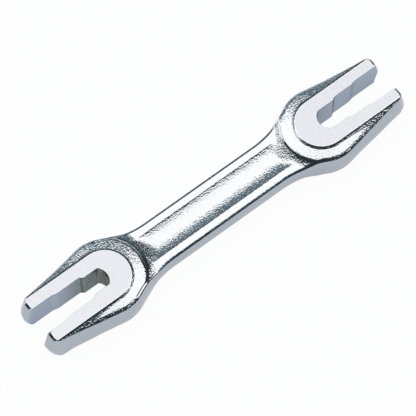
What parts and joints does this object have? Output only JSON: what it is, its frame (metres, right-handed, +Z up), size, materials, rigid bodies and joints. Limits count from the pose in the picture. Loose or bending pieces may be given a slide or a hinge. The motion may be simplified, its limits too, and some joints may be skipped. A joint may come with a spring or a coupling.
{
  "type": "spoke wrench",
  "caption": "One-piece forged double open-end wrench with stepped parallel slots for turning the nipples of wire spokes, joined by a thin I-section handle.",
  "frame": {"origin": "middle of the length and of the width, on the plane of the lower pads", "axes": "+X along the length towards the large end, +Y across the wrench towards the back jaws, +Z up through the thickness"},
  "size_m": [0.096, 0.0186, 0.0086],
  "materials": {
    "plated_steel": "bright chrome plate over a forged skin, with satin ground pads"
  },
  "bodies": {
    "root": {"handle": "plated_steel", "small_throat": "plated_steel", "small_jaw_front": "plated_steel", "small_jaw_back": "plated_steel", "large_throat": "plated_steel", "large_jaw_front": "plated_steel", "large_jaw_back": "plated_steel"}
  },
  "joints": []
}
